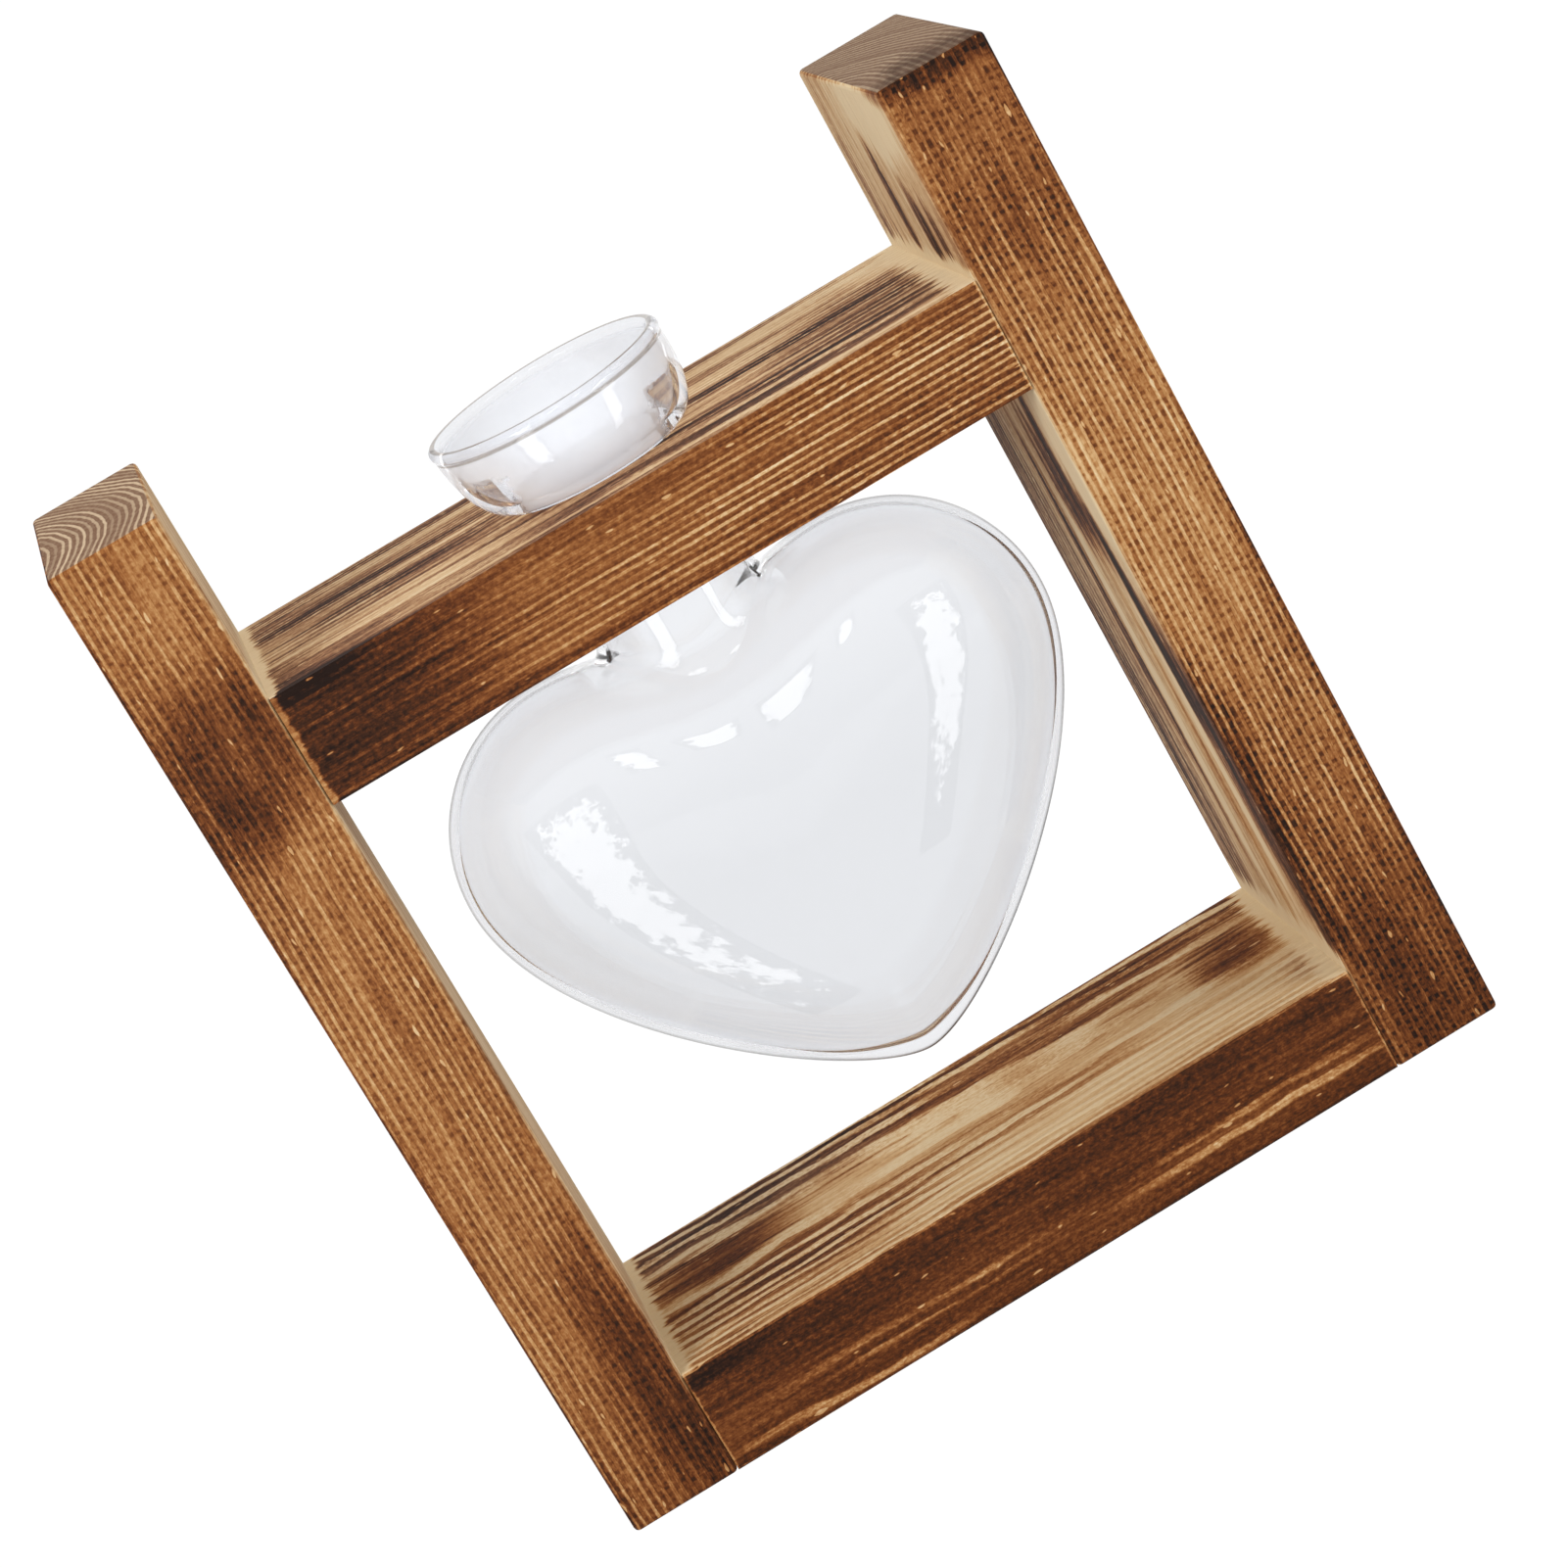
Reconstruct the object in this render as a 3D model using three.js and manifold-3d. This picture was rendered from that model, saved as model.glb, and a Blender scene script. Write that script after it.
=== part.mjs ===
// Glass heart vase that hangs by its collar from the top rail of a wooden frame.
// Millimetres. X runs to the viewer's right, Z runs up and the front faces -Y.
// The origin is the middle of the footprint, on the surface that the frame stands on.

import * as THREE from 'three';
import { RoundedBoxGeometry } from 'three/addons/geometries/RoundedBoxGeometry.js';
import { mergeVertices } from 'three/addons/utils/BufferGeometryUtils.js';
import Module from 'manifold-3d';

// Boards: one stock for both posts and both rails
const STOCK = 20; // thickness of every board
const FRAME_DEPTH = 60; // width of every board, front to back
const POST_RISE = 34; // how far the posts stand above the top rail
const EDGE_EASE = 0.8; // radius sanded on the long edges
const GLUE_LINE = 0.2; // film of glue between a rail's end and its post

// Heart, as seen from the front, with heights above its tip
const HEART_WIDTH = 111;
const HEART_HEIGHT = 89; // tip to the tops of the lobes
const SHOULDER_HEIGHT = 61.2; // where the heart is widest
const BELLY_HEIGHT = 53; // where the heart is thickest
const HEART_THICKNESS = 54; // front to back
const LOBE_SPREAD = 56; // between the tops of the two lobes
const CLEFT_DEPTH = 4; // from the tops of the lobes down to the cleft
const TIP_BLUNTNESS = 0.235; // share of the half width that the tip runs level
const FLANK_FULLNESS = 0.43; // share of the shoulder height that the flank runs upright
const LOBE_FULLNESS = 0.556; // near the 0.552 of a true quarter ellipse
const CLEFT_EASE = 0.38; // share of a lobe's offset that its top runs level
const CLEFT_FLOOR = 0.3; // share of a lobe's offset that the cleft runs level
const PUFF = 2.2; // power of the bulge from the outline to the belly, where 2 is an ellipse

// Glass
const WALL = 1.6;
const TIP_WALL = 3; // the glass gathers at the tip
const TIP_SPREAD = THREE.MathUtils.degToRad(12); // how far round from the tip it stays thick
const NECK_DIAMETER = 30;
const NECK_BLEND = 5; // softness of the corner between neck and heart
const SEAT_LEDGE = 4.2; // how far the foot of the collar reaches past the neck, to hang on the rail
const SEAT_LAND = 1.7; // flat part of that ledge, next to the neck
const SEAT_FILLET = 0.6; // inside corner between neck and collar
const COLLAR_HEIGHT = 15.5;
const FOOT_CORNER = 2; // height of the round corner at the foot of the collar
const BOWL_SHOULDER = 5.5; // height that the wall of the collar leans out to, before it turns upright
const RIM_FLARE = 2.6; // how far the rim reaches past the foot of the collar
const LIP_DIAMETER = 2.2; // bead round the rim

// Room between the glass and the frame
const SIDE_GAP = 9.5; // heart to each post
const CROWN_GAP = 8; // tops of the lobes to the top rail
const TIP_GAP = 17; // tip to the bottom rail
const SEAT_GAP = 0.3; // collar to the top of the rail
const SLOT_CLEARANCE = 0.8; // neck to the walls of the slot

// Dowels, two in each joint
const DOWEL_DIAMETER = 8;
const DOWEL_CHAMFER = 0.8;
const DOWEL_IN_RAIL = 18;
const DOWEL_INSET = 14; // centre of a dowel from the edge of the board
const BLIND_FLOOR = 8; // wood left in the post behind a bore
const BORE_CLEARANCE = 0.3; // round a dowel and at its ends

// Fineness of the facets
const RING_POINTS = 48; // round the glass
const ROWS_PER_CURVE = 11; // up each curve of the heart's outline
const BLEND_ROWS = 10; // from the tops of the lobes to the neck
const OUTLINE_STEPS = 80; // samples along each curve of the outline
const COLLAR_STEPS = 4; // along each curve of the collar's section
const SLOT_SEGMENTS = 24;
const DOWEL_SIDES = 16;
const EASE_SEGMENTS = 2;

// Sizes worked out from those above
const windowWidth = HEART_WIDTH + 2 * SIDE_GAP;
const windowHeight = TIP_GAP + HEART_HEIGHT + CROWN_GAP;
const topRailZ = STOCK + windowHeight;
const postHeight = topRailZ + STOCK + POST_RISE;
const railLength = windowWidth - 2 * GLUE_LINE;
const postX = (windowWidth + STOCK) / 2;
const seatZ = topRailZ + STOCK + SEAT_GAP;
const bellyZ = STOCK + TIP_GAP + BELLY_HEIGHT - seatZ;
const neckFootZ = -SEAT_GAP - STOCK;
const neckRadius = NECK_DIAMETER / 2;
const boreRadius = neckRadius - WALL;
const landRadius = neckRadius + SEAT_LAND;
const collarRadius = neckRadius + SEAT_LEDGE;
const rimRadius = collarRadius + RIM_FLARE;
const slotRadius = neckRadius + SLOT_CLEARANCE;
const dowelInPost = STOCK - BLIND_FLOOR - BORE_CLEARANCE;
const dowelLength = dowelInPost + DOWEL_IN_RAIL;

const burntPine = new THREE.MeshStandardMaterial({ color: 0x8a5a31, roughness: 0.72, metalness: 0 });
const palePine = new THREE.MeshStandardMaterial({ color: 0xd9b98a, roughness: 0.8, metalness: 0 });
const clearGlass = new THREE.MeshStandardMaterial({
  color: 0xe8eaed,
  roughness: 0.04,
  metalness: 0,
  transparent: true,
  opacity: 0.35,
});

const wasm = await Module();
wasm.setup();

// Closed geometry to a solid that can be cut
function solidOf(geometry) {
  const bare = geometry.clone();
  bare.deleteAttribute('normal');
  bare.deleteAttribute('uv');
  const merged = mergeVertices(bare);
  const mesh = new wasm.Mesh({
    numProp: 3,
    vertProperties: merged.getAttribute('position').array,
    triVerts: Uint32Array.from(merged.getIndex().array),
  });
  return new wasm.Manifold(mesh);
}

// Cut solid back to geometry
function geometryOf(solid) {
  const mesh = solid.getMesh();
  const geometry = new THREE.BufferGeometry();
  geometry.setAttribute('position', new THREE.Float32BufferAttribute(mesh.vertProperties, 3));
  geometry.setIndex(new THREE.Uint32BufferAttribute(mesh.triVerts, 1));
  geometry.computeVertexNormals();
  return geometry;
}

function namedMesh(name, geometry, material, place) {
  const mesh = new THREE.Mesh(geometry, material);
  mesh.name = name;
  mesh.position.copy(place);
  return mesh;
}

// Dowels

// Where each of the eight dowels lies, half in a post and half in a rail
function dowelPlaces() {
  const fromJoint = (dowelInPost - DOWEL_IN_RAIL) / 2;
  const x = windowWidth / 2 + fromJoint;
  const y = FRAME_DEPTH / 2 - DOWEL_INSET;
  const places = [];
  for (const [level, railZ] of [['bottom', 0], ['top', topRailZ]]) {
    for (const [side, across] of [['left', -1], ['right', 1]]) {
      for (const [row, through] of [['front', -1], ['back', 1]]) {
        const name = `${level}_${side}_dowel_${row}`;
        const centre = new THREE.Vector3(across * x, through * y, railZ + STOCK / 2);
        places.push({ name, level, side, centre });
      }
    }
  }
  return places;
}

// Round bar along X, centred, with chamfered ends
function barGeometry(radius, length, chamfer) {
  const half = length / 2;
  const profile = [
    new THREE.Vector2(0, -half),
    new THREE.Vector2(radius - chamfer, -half),
    new THREE.Vector2(radius, -half + chamfer),
    new THREE.Vector2(radius, half - chamfer),
    new THREE.Vector2(radius - chamfer, half),
    new THREE.Vector2(0, half),
  ];
  const bar = new THREE.LatheGeometry(profile, DOWEL_SIDES);
  return bar.rotateZ(-Math.PI / 2);
}

const dowels = dowelPlaces();
const boreGeometry = barGeometry(
  DOWEL_DIAMETER / 2 + BORE_CLEARANCE,
  dowelLength + 2 * BORE_CLEARANCE,
  DOWEL_CHAMFER,
);

function makeDowel({ name, centre }) {
  const geometry = barGeometry(DOWEL_DIAMETER / 2, dowelLength, DOWEL_CHAMFER);
  return namedMesh(name, geometry, palePine, centre);
}

// Boards

// The board with a bore for each of the dowels that enter it
function bored(solid, place, entering) {
  let cut = solid;
  for (const { centre } of entering) {
    const local = centre.clone().sub(place);
    const bore = boreGeometry.clone().translate(local.x, local.y, local.z);
    cut = cut.subtract(solidOf(bore));
  }
  return cut;
}

function makePost(side, across) {
  const place = new THREE.Vector3(across * postX, 0, postHeight / 2);
  const board = new RoundedBoxGeometry(STOCK, FRAME_DEPTH, postHeight, EASE_SEGMENTS, EDGE_EASE);
  const entering = dowels.filter((dowel) => dowel.side === side);
  const solid = bored(solidOf(board), place, entering);
  return namedMesh(`${side}_post`, geometryOf(solid), burntPine, place);
}

// Board along X with its long edges eased and its ends cut square
function railGeometry() {
  const y = FRAME_DEPTH / 2 - EDGE_EASE;
  const z = STOCK / 2 - EDGE_EASE;
  const section = new THREE.Shape();
  section.absarc(y, -z, EDGE_EASE, -Math.PI / 2, 0);
  section.absarc(y, z, EDGE_EASE, 0, Math.PI / 2);
  section.absarc(-y, z, EDGE_EASE, Math.PI / 2, Math.PI);
  section.absarc(-y, -z, EDGE_EASE, Math.PI, 1.5 * Math.PI);
  const options = { depth: railLength, bevelEnabled: false, curveSegments: EASE_SEGMENTS };
  const rail = new THREE.ExtrudeGeometry(section, options);
  rail.translate(0, 0, -railLength / 2);
  const alongX = new THREE.Matrix4().makeBasis(
    new THREE.Vector3(0, 1, 0),
    new THREE.Vector3(0, 0, 1),
    new THREE.Vector3(1, 0, 0),
  );
  return rail.applyMatrix4(alongX);
}

// Slot with a round end, open at the back, so that the neck slides in under the collar
function slotGeometry() {
  const back = FRAME_DEPTH;
  const outline = new THREE.Shape();
  outline.moveTo(slotRadius, back);
  outline.lineTo(-slotRadius, back);
  outline.lineTo(-slotRadius, 0);
  outline.absarc(0, 0, slotRadius, Math.PI, 2 * Math.PI);
  const options = { depth: 2 * STOCK, bevelEnabled: false, curveSegments: SLOT_SEGMENTS };
  return new THREE.ExtrudeGeometry(outline, options).translate(0, 0, -STOCK);
}

function makeRail(level, bottomZ, cutter) {
  const place = new THREE.Vector3(0, 0, bottomZ + STOCK / 2);
  const entering = dowels.filter((dowel) => dowel.level === level);
  const solid = bored(solidOf(railGeometry()), place, entering);
  const finished = cutter ? solid.subtract(solidOf(cutter)) : solid;
  return namedMesh(`${level}_rail`, geometryOf(finished), burntPine, place);
}

// Glass heart

// Right half of the heart's outline from the tip, over the lobe, to the cleft
function heartCurves() {
  const half = HEART_WIDTH / 2;
  const lobe = LOBE_SPREAD / 2;
  const lobeRise = HEART_HEIGHT - SHOULDER_HEIGHT;
  const cleft = HEART_HEIGHT - CLEFT_DEPTH;
  const flank = new THREE.CubicBezierCurve(
    new THREE.Vector2(0, 0),
    new THREE.Vector2(TIP_BLUNTNESS * half, 0),
    new THREE.Vector2(half, (1 - FLANK_FULLNESS) * SHOULDER_HEIGHT),
    new THREE.Vector2(half, SHOULDER_HEIGHT),
  );
  const shoulder = new THREE.CubicBezierCurve(
    new THREE.Vector2(half, SHOULDER_HEIGHT),
    new THREE.Vector2(half, SHOULDER_HEIGHT + LOBE_FULLNESS * lobeRise),
    new THREE.Vector2(lobe + LOBE_FULLNESS * (half - lobe), HEART_HEIGHT),
    new THREE.Vector2(lobe, HEART_HEIGHT),
  );
  const crown = new THREE.CubicBezierCurve(
    new THREE.Vector2(lobe, HEART_HEIGHT),
    new THREE.Vector2((1 - CLEFT_EASE) * lobe, HEART_HEIGHT),
    new THREE.Vector2(CLEFT_FLOOR * lobe, cleft),
    new THREE.Vector2(0, cleft),
  );
  return { flank, shoulder, crown };
}

const { flank, shoulder, crown } = heartCurves();

// A point of the outline as angle and distance, seen from the belly
function polar(point) {
  const rise = point.y - BELLY_HEIGHT;
  return { angle: Math.atan2(rise, point.x), reach: Math.hypot(point.x, rise) };
}

const outlineSamples = [flank, shoulder, crown].flatMap((curve) => curve.getPoints(OUTLINE_STEPS)).map(polar);

// Distance from the belly to the outline, at an angle from straight down to straight up
function outlineReach(angle) {
  const last = outlineSamples.length - 1;
  const next = outlineSamples.findIndex((sample) => sample.angle > angle);
  const after = next < 0 ? last : Math.max(next, 1);
  const low = outlineSamples[after - 1];
  const high = outlineSamples[after];
  const share = THREE.MathUtils.clamp((angle - low.angle) / (high.angle - low.angle || 1), 0, 1);
  return THREE.MathUtils.lerp(low.reach, high.reach, share);
}

// The same for the inside of the glass, which is thicker near the tip
function innerReach(angle) {
  const step = Math.PI / OUTLINE_STEPS;
  const reach = outlineReach(angle);
  const slope = (outlineReach(angle + step) - outlineReach(angle - step)) / (2 * step * reach);
  const fromTip = (angle + Math.PI / 2) / TIP_SPREAD;
  const wall = WALL + (TIP_WALL - WALL) * Math.exp(-fromTip * fromTip);
  return reach - wall * Math.hypot(1, slope);
}

const outerSkin = { reachAt: outlineReach, halfThickness: HEART_THICKNESS / 2, throat: neckRadius };
const innerSkin = { reachAt: innerReach, halfThickness: HEART_THICKNESS / 2 - WALL, throat: boreRadius };

// The larger of two lengths, with the corner between them rounded
function blendedMax(first, second) {
  const near = Math.max(NECK_BLEND - Math.abs(first - second), 0);
  return Math.max(first, second) + (near * near) / (4 * NECK_BLEND);
}

// Point of a skin, seen from the belly: the puffed heart, or the neck where that lies further out
function skinPoint(skin, latitude, azimuth) {
  const across = Math.cos(latitude) * Math.cos(azimuth);
  const through = Math.cos(latitude) * Math.sin(azimuth);
  const up = Math.sin(latitude);
  const outline = Math.hypot(across, up) / skin.reachAt(Math.atan2(up, Math.abs(across)));
  const bulge = Math.abs(through) / skin.halfThickness;
  const heart = (outline ** PUFF + bulge ** PUFF) ** (-1 / PUFF);
  const neck = latitude > 0 ? skin.throat / Math.cos(latitude) : 0;
  const reach = blendedMax(heart, neck);
  return new THREE.Vector3(across * reach, through * reach, bellyZ + up * reach);
}

function ringOf(pointAt) {
  return Array.from({ length: RING_POINTS }, (_, index) => pointAt((2 * Math.PI * index) / RING_POINTS));
}

// Rings up a skin from just above its tip to the foot of the neck
function heartRings(skin) {
  const rise = [flank, shoulder].flatMap((curve) => curve.getPoints(ROWS_PER_CURVE).slice(1));
  const latitudes = rise.map((point) => polar(point).angle);
  const lobeTop = latitudes.at(-1);
  const neckFoot = Math.atan2(neckFootZ - bellyZ, skin.throat);
  for (let row = 1; row <= BLEND_ROWS; row += 1) {
    latitudes.push(THREE.MathUtils.lerp(lobeTop, neckFoot, row / BLEND_ROWS));
  }
  return latitudes.map((latitude) => ringOf((azimuth) => skinPoint(skin, latitude, azimuth)));
}

// Neck and collar in section, from the foot of the neck up the outside, over the lip and down inside
function collarProfile() {
  const lip = LIP_DIAMETER / 2;
  const lipX = rimRadius - lip;
  const lipZ = COLLAR_HEIGHT - lip;
  const wallX = lipX + WALL / 2;
  const lean = (wallX - collarRadius) / (BOWL_SHOULDER - FOOT_CORNER);
  const footX = collarRadius - lean * FOOT_CORNER;
  const profile = new THREE.Path();
  profile.moveTo(neckRadius, neckFootZ);
  profile.lineTo(neckRadius, -SEAT_FILLET);
  profile.quadraticCurveTo(neckRadius, 0, neckRadius + SEAT_FILLET, 0);
  profile.lineTo(landRadius, 0);
  profile.quadraticCurveTo(footX, 0, collarRadius, FOOT_CORNER);
  profile.quadraticCurveTo(wallX, BOWL_SHOULDER, wallX, lipZ - lip);
  profile.absarc(lipX, lipZ, lip, -Math.PI / 4, 1.25 * Math.PI);
  profile.lineTo(wallX - WALL, lipZ - lip);
  profile.quadraticCurveTo(wallX - WALL, BOWL_SHOULDER + WALL, collarRadius - WALL, FOOT_CORNER + WALL);
  profile.quadraticCurveTo(footX - WALL, WALL, landRadius - WALL, WALL);
  profile.lineTo(boreRadius + SEAT_FILLET, WALL);
  profile.quadraticCurveTo(boreRadius, WALL, boreRadius, WALL - SEAT_FILLET);
  profile.lineTo(boreRadius, neckFootZ);
  return profile;
}

function collarRings() {
  const inner = collarProfile().getPoints(COLLAR_STEPS).slice(1, -1);
  return inner.map(({ x, y }) =>
    ringOf((azimuth) => new THREE.Vector3(x * Math.cos(azimuth), x * Math.sin(azimuth), y)),
  );
}

// Closed skin over a row of rings, with a point at each end
function loft(firstPoint, rings, lastPoint) {
  const points = [firstPoint, ...rings.flat(), lastPoint];
  const at = (ring, index) => 1 + ring * RING_POINTS + (index % RING_POINTS);
  const lastRing = rings.length - 1;
  const triangles = [];
  for (let index = 0; index < RING_POINTS; index += 1) {
    triangles.push(0, at(0, index + 1), at(0, index));
    for (let ring = 0; ring < lastRing; ring += 1) {
      triangles.push(at(ring, index), at(ring, index + 1), at(ring + 1, index + 1));
      triangles.push(at(ring, index), at(ring + 1, index + 1), at(ring + 1, index));
    }
    triangles.push(at(lastRing, index), at(lastRing, index + 1), points.length - 1);
  }
  const geometry = new THREE.BufferGeometry().setFromPoints(points);
  geometry.setIndex(triangles);
  geometry.computeVertexNormals();
  return geometry;
}

function makeVase() {
  const outsideTip = skinPoint(outerSkin, -Math.PI / 2, 0);
  const insideTip = skinPoint(innerSkin, -Math.PI / 2, 0);
  const rings = [...heartRings(outerSkin), ...collarRings(), ...heartRings(innerSkin).reverse()];
  const geometry = loft(outsideTip, rings, insideTip);
  return namedMesh('heart_vase', geometry, clearGlass, new THREE.Vector3(0, 0, seatZ));
}

const frame = new THREE.Group();
frame.add(makePost('left', -1), makePost('right', 1));
frame.add(makeRail('bottom', 0), makeRail('top', topRailZ, slotGeometry()));
frame.add(...dowels.map(makeDowel));

const vaseInFrame = new THREE.Group();
vaseInFrame.add(frame, makeVase());

export default vaseInFrame;
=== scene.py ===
"""Looks of a blown glass heart vase that hangs in a frame of torched pine boards.

Metres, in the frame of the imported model: X runs to the viewer's right, Z up, and the front faces -Y.
"""

import logging
import math
import operator
from bisect import bisect_right
from collections.abc import Callable
from dataclasses import dataclass
from enum import Enum
from functools import cached_property, reduce

import bmesh
import bpy
from mathutils import Matrix, Quaternion, Vector, geometry


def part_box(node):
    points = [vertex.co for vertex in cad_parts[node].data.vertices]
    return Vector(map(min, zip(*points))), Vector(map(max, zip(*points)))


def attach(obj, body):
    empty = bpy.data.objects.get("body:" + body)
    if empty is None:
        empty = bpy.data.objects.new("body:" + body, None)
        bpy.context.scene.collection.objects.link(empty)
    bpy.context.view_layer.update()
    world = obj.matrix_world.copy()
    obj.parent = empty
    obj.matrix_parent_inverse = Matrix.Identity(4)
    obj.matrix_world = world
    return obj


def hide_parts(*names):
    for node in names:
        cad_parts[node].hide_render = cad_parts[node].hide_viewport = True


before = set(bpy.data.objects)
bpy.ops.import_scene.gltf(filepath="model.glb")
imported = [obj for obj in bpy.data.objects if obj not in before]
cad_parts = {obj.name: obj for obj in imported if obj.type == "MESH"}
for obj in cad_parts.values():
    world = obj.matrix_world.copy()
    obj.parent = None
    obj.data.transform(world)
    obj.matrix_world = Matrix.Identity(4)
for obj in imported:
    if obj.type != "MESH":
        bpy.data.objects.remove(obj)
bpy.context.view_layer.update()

MM = 0.001
LOG = logging.getLogger("heart_vase_scene")
UP = (0.0, 0.0, 1.0)

Colour = tuple[float, float, float, float]
Point = tuple[float, float, float]
Ramp = tuple[tuple[float, Colour], ...]
Span = tuple[float, float]

HEART_MIDDLE: Point = (0.0, 0.0, 0.09)


def srgb(red: int, green: int, blue: int) -> Colour:
    """A colour as it looks on a screen, turned into the linear one that shaders use.

    Args:
        red: Red, from 0 to 255.
        green: Green, from 0 to 255.
        blue: Blue, from 0 to 255.

    Returns:
        The linear colour with full opacity.
    """
    def linear(level: int) -> float:
        """One channel made linear."""
        share = level / 255
        return share / 12.92 if share <= 0.04045 else ((share + 0.055) / 1.055) ** 2.4

    return linear(red), linear(green), linear(blue), 1.0


class Grain(Enum):
    """Which way the fibres of a board run: the letters are along, across and through the board."""

    ALONG_X = "xyz"
    ALONG_Z = "zxy"


class Face(Enum):
    """A side of a board: the axis that it looks along, and which way."""

    RIGHT = ("x", 1)
    LEFT = ("x", -1)
    BACK = ("y", 1)
    FRONT = ("y", -1)
    TOP = ("z", 1)
    BOTTOM = ("z", -1)


class Effect(Enum):
    """What a patch on a board changes."""

    BURN = "burn"
    LINES = "lines"
    SMOKE = "smoke"


class Layer(Enum):
    """Noise on a board: its scale along and across the fibres, its offset, detail and roughness."""

    SWAY = (0.011, 0.03, 3.0, 2.0, 0.5)
    WAVER = (0.07, 0.3, 7.0, 1.0, 0.5)
    FINE = (0.04, 1.7, 11.0, 3.0, 0.65)
    BROAD = (0.018, 0.2, 29.0, 3.0, 0.6)
    FLECK = (0.8, 1.3, 47.0, 2.0, 0.75)
    FLAME = (0.03, 0.5, 61.0, 3.0, 0.65)
    CHIP = (0.3, 1.0, 83.0, 0.0, 0.5)


@dataclass(frozen=True, eq=False)
class Flow:
    """A value that nodes work out all over a surface, and the sums that make other values of it."""

    sketch: "NodeSketch"
    socket: bpy.types.NodeSocket

    def __add__(self, other: "Value") -> "Flow":
        """The sum of two values."""
        return self.sketch.math("ADD", self, other)

    def __sub__(self, other: "Value") -> "Flow":
        """The value less another one."""
        return self.sketch.math("SUBTRACT", self, other)

    def __rsub__(self, other: float) -> "Flow":
        """A number less the value."""
        return self.sketch.math("SUBTRACT", other, self)

    def __mul__(self, other: "Value") -> "Flow":
        """The product of two values."""
        return self.sketch.math("MULTIPLY", self, other)

    def __truediv__(self, other: "Value") -> "Flow":
        """The value divided by another one."""
        return self.sketch.math("DIVIDE", self, other)

    def __abs__(self) -> "Flow":
        """The value without its sign."""
        return self.sketch.math("ABSOLUTE", self)

    def at_least(self, other: "Value") -> "Flow":
        """The larger of two values."""
        return self.sketch.math("MAXIMUM", self, other)

    def ease(self, low: float, high: float) -> "Flow":
        """A smooth step from 0, where the value is low, to 1, where it is high."""
        steps = {"Value": self, "From Min": low, "From Max": high}
        return self.sketch.node("ShaderNodeMapRange", steps, "Result", interpolation_type="SMOOTHSTEP")


Value = float | Flow
Inputs = dict[str | int, Value | Colour | Point]


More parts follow.
